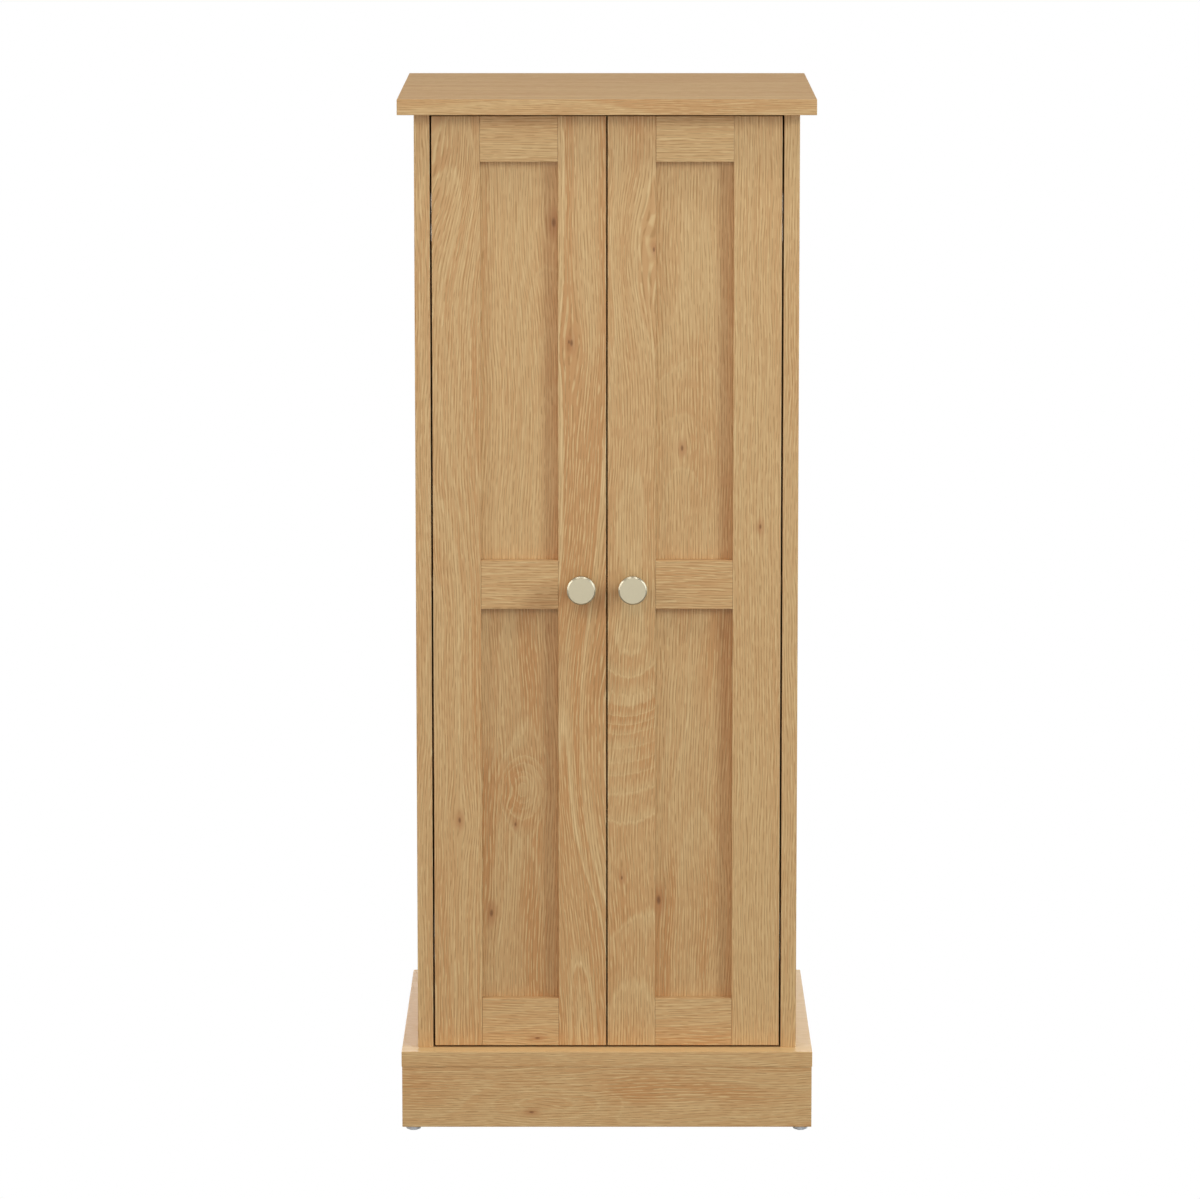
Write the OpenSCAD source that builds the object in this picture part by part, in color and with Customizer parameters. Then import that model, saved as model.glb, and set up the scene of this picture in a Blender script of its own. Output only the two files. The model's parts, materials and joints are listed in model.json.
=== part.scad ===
// Tall bathroom cabinet with two inset shaker doors.
// Boards are held by cam fittings and dowels, and each door hangs on two concealed cup hinges.
// Millimetres, +Z up, the front faces -Y, the origin is on the floor under the middle of the whole.

/* [Carcass] */
// Width of the top board and of the base board
board_w = 400; // [380:1:440]
// Depth of the top board and of the base board
board_d = 380; // [350:1:420]
// Thickness of the carcass boards
board_t = 15; // [15:0.5:18]
// Height of the body between the top board and the base board
body_h = 911.5; // [860:0.5:980]
// How far the top board stands out beyond the body at each side
side_overhang = 15.5; // [10:0.5:24]
// How far the top board stands out in front of the doors
front_overhang = 21; // [12:0.5:28]
// Thickness of the back panel
back_t = 3; // [2.5:0.1:4]
// Distance from the back edge of the boards to the back panel
back_inset = 12; // [8:0.5:20]
// Depth of the grooves that hold the back panel
back_groove = 6; // [4:0.5:7]

/* [Shelves] */
// Thickness of the shelves
shelf_t = 15; // [15:0.5:18]
// Space between the back of the doors and the front edge of the fixed shelf
shelf_setback = 3.2; // [3:0.1:5]
// How much farther back the front edge of a loose shelf lies
loose_setback = 12; // [4:1:40]
// Diameter of the shelf pins
pin_d = 5; // [4:0.1:6]
// Length of a shelf pin in its hole
pin_in = 8; // [6:0.5:10]
// Length of a shelf pin beyond the side panel
pin_out = 7; // [5:0.5:9]
// Spacing of the pin holes in a column
pin_pitch = 32; // [24:1:40]
// Distance of the pin columns from the front and back edges of a loose shelf
pin_inset = 45; // [30:1:70]

/* [Plinth] */
// Height of the plinth boards
plinth_h = 60; // [50:1:90]
// How far the plinth lies behind the edges of the base board
plinth_setback = 0.5; // [0.3:0.1:6]
// Side of the square corner blocks
block_w = 22; // [20:1:28]
// Height of the corner blocks
block_h = 32; // [28:1:44]
// Diameter of the glides
glide_d = 15; // [12:0.5:20]
// Height of the glides
glide_h = 4.5; // [3.5:0.5:7]
// Distance of the glide centres from the faces of the plinth
glide_inset = 10.6; // [9.6:0.1:12]

/* [Doors] */
// Thickness of the door frames
door_t = 15; // [15:0.1:16]
// Gap between a door and its side panel
side_gap = 1.75; // [1.5:0.05:2.2]
// Gap between the two doors
centre_gap = 1.5; // [1.4:0.1:3]
// Gap above the doors
top_gap = 2.4; // [1.5:0.1:4]
// Gap under the doors
bottom_gap = 1.9; // [1.5:0.1:4]
// Width of the stiles
stile_w = 46.2; // [46:0.1:56]
// Height of the top rails
top_rail_h = 43.6; // [36:0.1:60]
// Height of the middle rails
middle_rail_h = 47.3; // [36:0.1:60]
// Height of the bottom rails
bottom_rail_h = 46.7; // [36:0.1:60]
// Rise of the middle rail above the middle of the door
middle_rail_rise = 1.3; // [-20:0.1:20]
// How deep the door panels lie behind the face of the frame
panel_recess = 10; // [8:0.1:10.5]
// Thickness of the door panels and of the rail tongues
panel_t = 3; // [2.5:0.1:3.4]
// Depth of the panel grooves in the stiles and rails
panel_groove = 6; // [4:0.1:6.2]

/* [Knobs] */
// Diameter of the knob's face
knob_d = 27.5; // [22:0.5:36]
// How far a knob stands out from its door
knob_reach = 30; // [25:0.5:36]
// Thickness of the knob's disc
knob_disc = 8; // [5:0.5:12]
// Width of the bevel round the knob's face
knob_bevel = 1.2; // [0.5:0.1:2]
// Diameter of the knob's neck
knob_neck_d = 11; // [9:0.5:14]
// Diameter of the knob's foot
knob_foot_d = 17; // [14:0.5:20]
// Distance of the knobs from the inner edges of the doors
knob_inset = 24; // [19:0.5:28]
// How far the knobs sit under the middle of the middle rails
knob_drop = 1.6; // [-4:0.1:4]

/* [Hinges] */
// Diameter of the hinge cups
cup_d = 35; // [34.8:0.1:35.2]
// Depth of the hinge cups
cup_depth = 11.4; // [11:0.1:11.6]
// Distance from the door's edge to the cup
cup_edge = 4.5; // [4.2:0.1:4.9]
// Distance of the hinges from the ends of a door
hinge_inset = 100; // [80:1:140]
// Spacing of the two screws of a cup
cup_screw_pitch = 48; // [45:0.5:52]
// Distance of the hinge pin from the side panel
pivot_out = 3.4; // [3.3:0.1:3.6]
// Distance of the hinge pin behind the back of the door
pivot_back = 6.3; // [6.2:0.1:6.6]
// Width of a hinge link
link_w = 9; // [8:0.1:9.4]
// Thickness of the strip that a hinge link is bent from
link_t = 1.8; // [1.5:0.1:2]
// Diameter of the hinge pins
hinge_pin_d = 2.4; // [2.2:0.1:2.6]
// Thickness of the mounting plates
plate_t = 2; // [1.6:0.1:2]
// Height of the hinge arms above the side panel
arm_rise = 11; // [10.5:0.1:12]
// Thickness of the sheet that the hinge arms are folded from
arm_t = 1.5; // [1.2:0.1:1.6]
// Length of the hinge arms behind the pin
arm_len = 56; // [50:1:64]
// Spacing of the two screws of a mounting plate
plate_screw_pitch = 32; // [28:1:36]

/* [Joinery] */
// Diameter of the cam locks
cam_d = 14.8; // [14:0.1:16]
// Depth of the cam locks
cam_depth = 12.4; // [11.8:0.1:12.8]
// Distance from a board's end to its cam locks
cam_inset = 24; // [20:0.5:34]
// Distance of the cam fittings from the front and back edges
cam_edge = 58; // [50:1:70]
// Diameter of the wooden dowels
dowel_d = 8; // [6:0.5:8]
// Length of the wooden dowels
dowel_len = 30; // [26:1:34]
// Distance from a cam fitting to its dowel
dowel_pitch = 32; // [28:1:40]
// Depth of the bolt and dowel holes in the faces of the boards
face_hole = 11; // [9:0.5:12]
// Width of the steel angle for the wall screw
angle_w = 40; // [30:1:60]
// Length of the legs of the steel angle
angle_leg = 25; // [20:1:32]
// Thickness of the steel angle
angle_t = 2; // [1.5:0.1:3]
// Diameter of the hole for the wall screw
wall_hole_d = 5.5; // [4.5:0.1:6.5]

/* [Hidden] */
$fn = 48;

// Clearances
fit = 0.05;
play = 0.15;
loose = 0.3;
shelf_play = 0.8;
cut = 1;

// Widths and depths of the body
body_w = board_w - 2 * side_overhang;
inner_w = body_w - 2 * board_t;
body_d = board_d - front_overhang;
y_back = (body_d + max(front_overhang, knob_reach)) / 2;
y_door = y_back - body_d;
y_board = y_back - board_d;
y_panel = y_back - back_inset - back_t;
side_x = body_w / 2 - board_t / 2;

// Heights
z_base = glide_h + plinth_h;
z_floor = z_base + board_t;
z_ceiling = z_floor + body_h;
z_shelf = z_floor + (body_h - shelf_t) / 2;
z_lower = z_floor + (z_shelf - z_floor - shelf_t) / 2;
z_upper = z_shelf + shelf_t + (z_ceiling - z_shelf - 2 * shelf_t) / 2;

// Shelves
shelf_y = y_door + door_t + shelf_setback;
shelf_d = y_panel - loose - shelf_y;
loose_y = shelf_y + loose_setback;
loose_d = shelf_d - loose_setback;
loose_w = inner_w - 2 * shelf_play;
pin_ys = [loose_y + pin_inset, loose_y + loose_d - pin_inset];
pin_steps = [-1, 0, 1];
collar_t = 1;
collar_rim = 1.3;
collar_d = pin_d + 2 * collar_rim;
shelf_mid = z_shelf + shelf_t / 2;

// Cam fittings and dowels
cam_ys = [y_door + cam_edge, y_back - cam_edge];
dowel_ys = [y_door + cam_edge + dowel_pitch, y_back - cam_edge - dowel_pitch];
bolt_d = 5;
bolt_thread_d = 6;
bolt_head_d = 6.4;
bolt_bore_d = 7;
bolt_head_h = 3;
driver_slot = 1.4;
driver_depth = 1.6;
shelf_cam_edge = cam_edge - door_t;
shelf_cam_ys = [shelf_y + shelf_cam_edge, shelf_y + shelf_d - shelf_cam_edge];
shelf_dowel_ys = [shelf_cam_ys[0] + dowel_pitch, shelf_cam_ys[1] - dowel_pitch];

// Plinth
plinth_w = board_w - 2 * plinth_setback;
plinth_y = y_board + plinth_setback;
plinth_d = board_d - 2 * plinth_setback;
block_screw_d = 3.6;
block_screw_head = 6.6;
block_bite = 9;
block_near = 7;
block_far = 16;
nail_d = 2;
nail_len = 12;
glide_rim = 1.2;

// Wall angle
angle_bite = 10;
angle_head_d = 7;
angle_head_h = 2;
back_hole_play = 1.5;
back_hole_d = wall_hole_d + 2 * back_hole_play;

// Cross recesses in the heads of the screws
cross_w = 0.8;
cross_depth = 0.8;

// Doors
door_w = (inner_w - 2 * side_gap - centre_gap) / 2;
door_h = body_h - top_gap - bottom_gap;
door_z = z_floor + bottom_gap;
rail_w = door_w - 2 * stile_w;
tongue = panel_groove - loose;
groove_t = panel_t + 2 * play;
groove_y = panel_recess - play;
middle_z = door_h / 2 + middle_rail_rise;
middle_low = middle_z - middle_rail_h / 2;
middle_high = middle_z + middle_rail_h / 2;
hair = 0.15;

// Knobs
knob_x = door_w - knob_inset;
knob_screw_d = 4;
knob_bite = 12;
knob_head_d = 8;
knob_head_h = 2.6;
knob_head_dome = 1;
knob_foot_t = 2;
knob_fillet = 1.6;
knob_z = middle_z - knob_drop;
bumper_d = 8;
bumper_inset = 10;
bumper_t = shelf_setback - loose;
bumper_x = door_w - bumper_inset;

// Hinges
hinge_zs = [hinge_inset, door_h - hinge_inset];
cup_x = cup_edge + cup_d / 2;
cup_wall = 1;
flange_t = 1;
flange_rim = 0.5;
flange_d = cup_d + 2 * flange_rim;
ear_d = 11;
ear_shift = 6;
cup_screw_d = 3.3;
cup_screw_head = 6.4;
cup_screw_len = 11;
pivot = [pivot_out, door_t + pivot_back];
eye_d = 5.4;
link_far_gap = 3.95;
link_floor_gap = 2.6;
link_end = [side_gap + cup_x + cup_d / 2 - link_far_gap, door_t - cup_depth + link_floor_gap];
end_d = 2.2;
bend_along = 0.871;
bend_out = 28.8;
link_steps = 24;
ear_play = 0.5;
ear_gap = link_w / 2 + ear_play;
plate_back = 37;
plate_v = plate_back + door_t;
plate_len = 28;
plate_margin = 7;
plate_tall = plate_screw_pitch + 2 * plate_margin;
boss_d = 8;
arm_web_start = 9;
arm_tail_run = 8;
arm_tail_drop = 4;
arm_screw_d = 5;
arm_screw_head = 7.4;
arm_screw_head_h = 1.6;
arm_slot_w = 1;
arm_slot_len = 4.4;
arm_slot_depth = 1.1;
plate_screw_d = 3.6;
plate_screw_head = 6.4;
plate_screw_len = 13;

// Colours
oak = [0.75, 0.60, 0.42];
oak_edge = [0.73, 0.58, 0.40];
board_brown = [0.62, 0.48, 0.33];
pine = [0.86, 0.74, 0.55];
steel = [0.72, 0.72, 0.73];
zinc = [0.80, 0.79, 0.75];
satin_brass = [0.79, 0.75, 0.62];
white_plastic = [0.92, 0.92, 0.91];

// A board from its lowest corner
module board(corner, size) {
    translate(corner) cube(size);
}

// A round hole or bar that starts at a point and runs along an axis
module bar(from, along, len, d) {
    turn = along == "x" ? [0, 90, 0] : along == "-x" ? [0, -90, 0]
        : along == "y" ? [-90, 0, 0] : along == "-y" ? [90, 0, 0]
        : along == "-z" ? [180, 0, 0] : [0, 0, 0];
    translate(from) rotate(turn) cylinder(h = len, d = d);
}

// The same thing on both sides of the cabinet
module both_sides() {
    children();
    mirror([1, 0, 0]) children();
}

// A countersunk screw that points up, its head's face at the origin
module countersunk(len, d, head) {
    difference() {
        union() {
            cylinder(h = len, d = d);
            cylinder(h = (head - d) / 2, d1 = head, d2 = d);
        }
        for (turn = [0, 90]) rotate(turn)
            board([-head / 4, -cross_w / 2, -cut], [head / 2, cross_w, cut + cross_depth]);
    }
}

// The countersunk hole for such a screw, wider by the fit
module countersunk_hole(len, d, head) {
    translate([0, 0, -cut]) cylinder(h = cut + 0.01, d = head + 2 * fit);
    cylinder(h = (head - d) / 2, d1 = head + 2 * fit, d2 = d + 2 * fit);
    cylinder(h = len + fit, d = d + 2 * fit);
}

// Groove for the back panel in the face of the top board or base board
module back_slot(z) {
    board([-inner_w / 2 - back_groove, y_panel - play, z],
        [inner_w + 2 * back_groove, back_t + 2 * play, back_groove + cut]);
}

// Bolt and dowel holes that enter a level board at each side panel
module level_holes(z, along) {
    both_sides() {
        for (y = cam_ys) bar([side_x, y, z], along, face_hole + loose, bolt_thread_d + 2 * fit);
        for (y = dowel_ys) bar([side_x, y, z], along, face_hole + loose, dowel_d + 2 * fit);
    }
}

module top_board() {
    color(oak) difference() {
        board([-board_w / 2, y_board, z_ceiling], [board_w, board_d, board_t]);
        translate([0, 0, z_ceiling - cut]) back_slot(0);
        level_holes(z_ceiling - 0.01, "z");
        for (x = [-1, 1]) bar([x * angle_w / 4, y_panel - angle_leg / 2, z_ceiling - 0.01], "z",
            angle_bite + loose, block_screw_d + 2 * fit);
    }
}

module base_board() {
    color(oak) difference() {
        board([-board_w / 2, y_board, z_base], [board_w, board_d, board_t]);
        back_slot(z_floor - back_groove);
        level_holes(z_floor + 0.01, "-z");
        at_blocks() bar([block_near, block_near, block_h - 0.01], "z",
            block_bite + loose, block_screw_d + 2 * fit);
    }
}

// Side panel on the right; the left one is its mirror image
module side_panel() {
    color(oak) difference() {
        board([inner_w / 2, y_door, z_floor], [board_t, body_d, body_h]);
        board([inner_w / 2 - cut, y_panel - play, z_floor - cut],
            [back_groove + cut, back_t + 2 * play, body_h + 2 * cut]);
        side_end_holes(z_ceiling, "-z", -1);
        side_end_holes(z_floor, "z", 1);
        shelf_face_holes();
        for (z = [z_lower, z_upper], step = pin_steps, y = pin_ys)
            bar([inner_w / 2 - 0.01, y, z - pin_d / 2 + step * pin_pitch], "x",
                pin_in + loose, pin_d + 2 * fit);
        mirror([1, 0, 0]) at_hinges() for (side = [-1, 1])
            bar([0.01, plate_v, side * plate_screw_pitch / 2], "-x",
                plate_screw_len - plate_t + loose, plate_screw_d + 2 * fit);
    }
}

module side_end_holes(z, along, up) {
    for (y = cam_ys) {
        bar([side_x, y, z - up * 0.01], along, cam_inset + bolt_head_h, bolt_bore_d);
        bar([inner_w / 2 - 0.01, y, z + up * cam_inset], "x", cam_depth + play, cam_d + 2 * play);
    }
    for (y = dowel_ys)
        bar([side_x, y, z - up * 0.01], along, dowel_len - face_hole + loose, dowel_d + 2 * fit);
}

module shelf_face_holes() {
    for (y = shelf_cam_ys)
        bar([inner_w / 2 - 0.01, y, shelf_mid], "x", face_hole + loose, bolt_thread_d + 2 * fit);
    for (y = shelf_dowel_ys)
        bar([inner_w / 2 - 0.01, y, shelf_mid], "x", face_hole + loose, dowel_d + 2 * fit);
}

module side_left() {
    mirror([1, 0, 0]) side_panel();
}

module side_right() {
    side_panel();
}

module back_panel() {
    margin = back_groove - loose;
    color(board_brown) difference() {
        board([-inner_w / 2 - margin, y_panel, z_floor - margin],
            [inner_w + 2 * margin, back_t, body_h + 2 * margin]);
        bar([0, y_panel - cut, z_ceiling - angle_leg / 2], "y", back_t + 2 * cut, back_hole_d);
    }
}

module fixed_shelf() {
    end_x = inner_w / 2;
    color(oak) difference() {
        board([-end_x, shelf_y, z_shelf], [inner_w, shelf_d, shelf_t]);
        both_sides() {
            for (y = shelf_cam_ys) {
                bar([end_x + 0.01, y, shelf_mid], "-x", cam_inset + bolt_head_h, bolt_bore_d);
                bar([end_x - cam_inset, y, z_shelf - 0.01], "z", cam_depth + play, cam_d + 2 * play);
            }
            for (y = shelf_dowel_ys) bar([end_x + 0.01, y, shelf_mid], "-x",
                dowel_len - face_hole + loose, dowel_d + 2 * fit);
        }
    }
}

module loose_shelf(z) {
    color(oak) board([-loose_w / 2, loose_y, z], [loose_w, loose_d, shelf_t]);
}

module lower_shelf() {
    loose_shelf(z_lower);
}

module upper_shelf() {
    loose_shelf(z_upper);
}

module shelf_pins() {
    color(steel) both_sides() for (z = [z_lower, z_upper], y = pin_ys) {
        height = z - pin_d / 2;
        bar([inner_w / 2 - pin_out, y, height], "x", pin_in + pin_out, pin_d);
        translate([inner_w / 2 - collar_t, y, height]) intersection() {
            rotate([0, 90, 0]) cylinder(h = collar_t, d = collar_d);
            board([0, -collar_d / 2, -collar_d / 2], [collar_t, collar_d, collar_d / 2 + pin_d / 2]);
        }
    }
}

module plinth_face(y) {
    glide_y = y < 0 ? plinth_y + glide_inset : plinth_y + plinth_d - glide_inset;
    color(oak_edge) difference() {
        board([-plinth_w / 2, y, glide_h], [plinth_w, board_t, plinth_h]);
        both_sides() {
            bar([plinth_w / 2 - glide_inset, glide_y, glide_h - 0.01], "z",
                nail_len + loose, nail_d + 2 * fit);
        }
        at_blocks() bar([block_far, 0.01, block_near], "-y",
            block_bite + loose, block_screw_d + 2 * fit);
    }
}

module plinth_front() {
    plinth_face(plinth_y);
}

module plinth_back() {
    plinth_face(plinth_y + plinth_d - board_t);
}

module plinth_side() {
    color(oak_edge) difference() {
        board([plinth_w / 2 - board_t, plinth_y + board_t, glide_h],
            [board_t, plinth_d - 2 * board_t, plinth_h]);
        at_blocks() bar([0.01, block_far, block_h - block_near], "-x",
            block_bite + loose, block_screw_d + 2 * fit);
    }
}

module plinth_left() {
    mirror([1, 0, 0]) plinth_side();
}

module plinth_right() {
    plinth_side();
}

// Frames of the four inner corners of the plinth, x and y running inwards from the boards
module at_blocks() {
    for (turn_x = [0, 1], turn_y = [0, 1])
        mirror([turn_x, 0, 0])
            translate([0, plinth_y + plinth_d / 2, 0]) mirror([0, turn_y, 0])
                translate([-plinth_w / 2 + board_t, -plinth_d / 2 + board_t, z_base - block_h])
                    children();
}

// Each screw of a corner block: where its head lies, how it is turned and the wood it crosses
block_screw_sites = [
    [[block_near, block_near, 0], [0, 0, 0], block_h],
    [[block_far, block_w, block_near], [90, 0, 0], block_w],
    [[block_w, block_far, block_h - block_near], [0, -90, 0], block_w]
];

module corner_blocks() {
    color(pine) at_blocks() difference() {
        cube([block_w, block_w, block_h]);
        for (site = block_screw_sites) translate(site[0]) rotate(site[1])
            countersunk_hole(site[2] + cut, block_screw_d, block_screw_head);
    }
}

module block_screws() {
    color(zinc) at_blocks() for (site = block_screw_sites) translate(site[0]) rotate(site[1])
        countersunk(site[2] + block_bite, block_screw_d, block_screw_head);
}

// Nail-on glide: a domed disc with its nail
module glide() {
    rim = glide_rim;
    rotate_extrude() union() {
        polygon([[0, 0], [glide_d * 0.3, 0], [glide_d / 2 - rim * 0.6, rim * 0.8],
            [glide_d / 2, rim * 2], [glide_d / 2, glide_h], [0, glide_h]]);
        square([nail_d / 2, glide_h + nail_len]);
    }
}

module glides() {
    color(white_plastic) both_sides()
        for (y = [plinth_y + glide_inset, plinth_y + plinth_d - glide_inset])
            translate([plinth_w / 2 - glide_inset, y, 0]) glide();
}

// Cam bolt: thread below the origin, shank and head above it
module cam_bolt() {
    translate([0, 0, -face_hole]) cylinder(h = face_hole, d = bolt_thread_d);
    cylinder(h = cam_inset, d = bolt_d);
    translate([0, 0, cam_inset - bolt_head_h / 2]) cylinder(h = bolt_head_h, d = bolt_head_d);
}

// Cam lock: a drum with a slot for the bolt's head along +x and a driver cross in its face
module cam_lock(mid) {
    difference() {
        translate([0, 0, -cam_depth]) cylinder(h = cam_depth, d = cam_d);
        translate([-bolt_bore_d / 2, 0, -mid]) rotate([0, 90, 0])
            cylinder(h = cam_d, d = bolt_bore_d);
        for (turn = [45, 135]) rotate(turn)
            board([-cam_d / 4, -driver_slot / 2, -driver_depth],
                [cam_d / 2, driver_slot, driver_depth + cut]);
    }
}

// Frames of the fittings, z along the bolt: the four corners of each side panel
module at_side_joints(ys) {
    both_sides() for (y = ys) {
        translate([side_x, y, z_ceiling]) rotate([180, 0, 0]) children();
        translate([side_x, y, z_floor]) children();
    }
}

// Frames of the fittings of the fixed shelf, z pointing into the shelf
module at_shelf_joints(ys) {
    both_sides() for (y = ys) translate([inner_w / 2, y, shelf_mid]) rotate([0, -90, 0]) children();
}

module cam_bolts() {
    color(zinc) {
        at_side_joints(cam_ys) cam_bolt();
        at_shelf_joints(shelf_cam_ys) cam_bolt();
    }
}

module cam_locks() {
    color(zinc) {
        both_sides() for (y = cam_ys) {
            translate([inner_w / 2, y, z_ceiling - cam_inset])
                rotate([0, -90, 0]) cam_lock(board_t / 2);
            translate([inner_w / 2, y, z_floor + cam_inset])
                rotate([0, -90, 0]) rotate(180) cam_lock(board_t / 2);
        }
        both_sides() for (y = shelf_cam_ys)
            translate([inner_w / 2 - cam_inset, y, z_shelf]) rotate([180, 0, 0])
                cam_lock(shelf_t / 2);
    }
}

module dowel() {
    nose = 1;
    body = dowel_len - 2 * nose;
    translate([0, 0, -face_hole]) {
        cylinder(h = nose, d1 = dowel_d - 2 * nose, d2 = dowel_d);
        translate([0, 0, nose]) cylinder(h = body, d = dowel_d);
        translate([0, 0, nose + body]) cylinder(h = nose, d1 = dowel_d, d2 = dowel_d - 2 * nose);
    }
}

module dowels() {
    color(pine) {
        at_side_joints(dowel_ys) dowel();
        at_shelf_joints(shelf_dowel_ys) dowel();
    }
}

// Frame of the left hinges: x out from the side panel, y back from the face of the door
module at_hinges() {
    for (z = hinge_zs) translate([-inner_w / 2, y_door, door_z + z]) children();
}

module plate() {
    difference() {
        union() {
            board([0, plate_v - plate_len / 2, -plate_tall / 2], [plate_t, plate_len, plate_tall]);
            bar([0, plate_v, 0], "x", arm_rise - arm_t - play, boss_d);
        }
        bar([-cut, plate_v, 0], "x", arm_rise + 2 * cut, arm_screw_d + 2 * fit);
        for (side = [-1, 1]) translate([plate_t, plate_v, side * plate_screw_pitch / 2])
            rotate([0, -90, 0])
                countersunk_hole(plate_screw_len, plate_screw_d, plate_screw_head);
    }
}

module hinge_plates() {
    color(steel) both_sides() at_hinges() plate();
}

// Folded arm: two side walls that carry the pin, and the web between them
module arm() {
    tail = pivot[1] + arm_len;
    web_start = pivot[1] + arm_web_start;
    web_end = tail - arm_tail_run;
    difference() {
        union() {
            for (side = [-1, 1]) translate([0, 0, side > 0 ? ear_gap : -ear_gap - arm_t])
                linear_extrude(arm_t) union() {
                    translate(pivot) circle(d = eye_d);
                    polygon([[pivot[0], pivot[1] - eye_d / 2 + 0.01],
                        [arm_rise, web_start],
                        [arm_rise, web_end], [arm_rise - arm_tail_drop, tail],
                        [plate_t + play, tail], [plate_t + play, pivot[1] + eye_d / 2],
                        [pivot[0] - eye_d / 4, pivot[1] + eye_d / 4]]);
                }
            board([arm_rise - arm_t, web_start, -ear_gap - arm_t],
                [arm_t, web_end - web_start, 2 * (ear_gap + arm_t)]);
        }
        bar([pivot[0], pivot[1], -ear_gap - arm_t - cut], "z",
            2 * (ear_gap + arm_t + cut), hinge_pin_d + 2 * fit);
        bar([0, plate_v, 0], "x", arm_rise + cut, arm_screw_d + 2 * play);
    }
}

module hinge_arms() {
    color(steel) both_sides() at_hinges() arm();
}

module hinge_pins() {
    color(zinc) both_sides() at_hinges()
        bar([pivot[0], pivot[1], -ear_gap - arm_t], "z", 2 * (ear_gap + arm_t), hinge_pin_d);
}

module hinge_screws() {
    color(zinc) both_sides() at_hinges() {
        for (side = [-1, 1]) translate([plate_t, plate_v, side * plate_screw_pitch / 2])
            rotate([0, -90, 0]) countersunk(plate_screw_len, plate_screw_d, plate_screw_head);
        difference() {
            union() {
                bar([plate_t / 2, plate_v, 0], "x", arm_rise - plate_t / 2 + 0.01, arm_screw_d);
                bar([arm_rise, plate_v, 0], "x", arm_screw_head_h, arm_screw_head);
            }
            for (turn = [0, 90])
                translate([arm_rise + arm_screw_head_h, plate_v, 0]) rotate([turn, 0, 0])
                    board([-arm_slot_depth, -arm_slot_w / 2, -arm_slot_len / 2],
                        [arm_slot_depth + cut, arm_slot_w, arm_slot_len]);
        }
    }
}

// Centre line of a link, a curve from the pin round the door's edge into the cup
link_run = link_end - pivot;
link_dir = link_run / norm(link_run);
link_bend = pivot + bend_along * link_run + bend_out * [-link_dir[1], link_dir[0]];
function link_point(t) = (1 - t) * (1 - t) * pivot + 2 * t * (1 - t) * link_bend + t * t * link_end;
function link_slope(t) = (1 - t) * (link_bend - pivot) + t * (link_end - link_bend);
function link_edge(t, side) = let (s = link_slope(t))
    link_point(t) + side * link_t / 2 * [-s[1], s[0]] / norm(s);

module link() {
    steps = [for (i = [0:link_steps]) i / link_steps];
    back = [for (i = [0:link_steps]) 1 - i / link_steps];
    difference() {
        translate([0, 0, -link_w / 2]) linear_extrude(link_w) union() {
            translate(pivot) circle(d = eye_d);
            translate(link_end) circle(d = end_d);
            polygon(concat([for (t = steps) link_edge(t, 1)], [for (t = back) link_edge(t, -1)]));
        }
        bar([pivot[0], pivot[1], -link_w / 2 - cut], "z",
            link_w + 2 * cut, hinge_pin_d + 2 * fit);
    }
}

module hinge_links_left() {
    color(steel) at_hinges() link();
}

module hinge_links_right() {
    color(steel) mirror([1, 0, 0]) at_hinges() link();
}

// Frame of the left door: x in from its outer edge, y back from its face, z up from its foot
module left_door() {
    translate([-inner_w / 2 + side_gap, y_door, door_z]) children();
}

module right_door() {
    mirror([1, 0, 0]) left_door() children();
}

// Frames of the two screws of the cup at a height, z along the screw into the door
module at_cup_screws(z) {
    for (side = [-1, 1])
        translate([cup_x + ear_shift, door_t + flange_t, z + side * cup_screw_pitch / 2])
            rotate([90, 0, 0]) children();
}

// The bores of the hinge cups, which also cut a panel whose edge reaches them
module cup_bores() {
    for (z = hinge_zs)
        bar([cup_x, door_t + 0.01, z], "-y", cup_depth + 2 * fit, cup_d + 2 * fit);
}

// Groove for a panel edge, cut from the corner given
module panel_slot(corner, size) {
    board([corner[0], groove_y, corner[1]], [size[0], groove_t, size[1]]);
}

module outer_stile() {
    color(oak) difference() {
        cube([stile_w, door_t, door_h]);
        panel_slot([stile_w - panel_groove, -cut], [panel_groove + cut, door_h + 2 * cut]);
        cup_bores();
        for (z = hinge_zs)
            at_cup_screws(z) countersunk_hole(cup_screw_len, cup_screw_d, cup_screw_head);
    }
}

module inner_stile() {
    color(oak) difference() {
        board([door_w - stile_w, 0, 0], [stile_w, door_t, door_h]);
        panel_slot([door_w - stile_w - cut, -cut], [panel_groove + cut, door_h + 2 * cut]);
        bar([knob_x, -cut, knob_z], "y", door_t + 2 * cut, knob_screw_d + 2 * play);
    }
}

// A rail from z to z + h, with a groove where it meets a panel
module rail(z, h, panel_above, panel_below) {
    low = z + (panel_below ? panel_groove : 0);
    high = z + h - (panel_above ? panel_groove : 0);
    color(oak_edge) difference() {
        union() {
            board([stile_w + hair, 0, z], [rail_w - 2 * hair, door_t, h]);
            board([stile_w - tongue, panel_recess, low], [rail_w + 2 * tongue, panel_t, high - low]);
        }
        if (panel_above) panel_slot([stile_w, z + h - panel_groove], [rail_w, panel_groove + cut]);
        if (panel_below) panel_slot([stile_w, z - cut], [rail_w, panel_groove + cut]);
    }
}

module panel(low, high) {
    color(oak) difference() {
        board([stile_w - tongue, panel_recess, low - tongue],
            [rail_w + 2 * tongue, panel_t, high - low + 2 * tongue]);
        cup_bores();
    }
}

module top_rail() {
    rail(door_h - top_rail_h, top_rail_h, false, true);
}

module middle_rail() {
    rail(middle_low, middle_rail_h, true, true);
}

module bottom_rail() {
    rail(0, bottom_rail_h, true, false);
}

module upper_panel() {
    panel(middle_high, door_h - top_rail_h);
}

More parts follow.
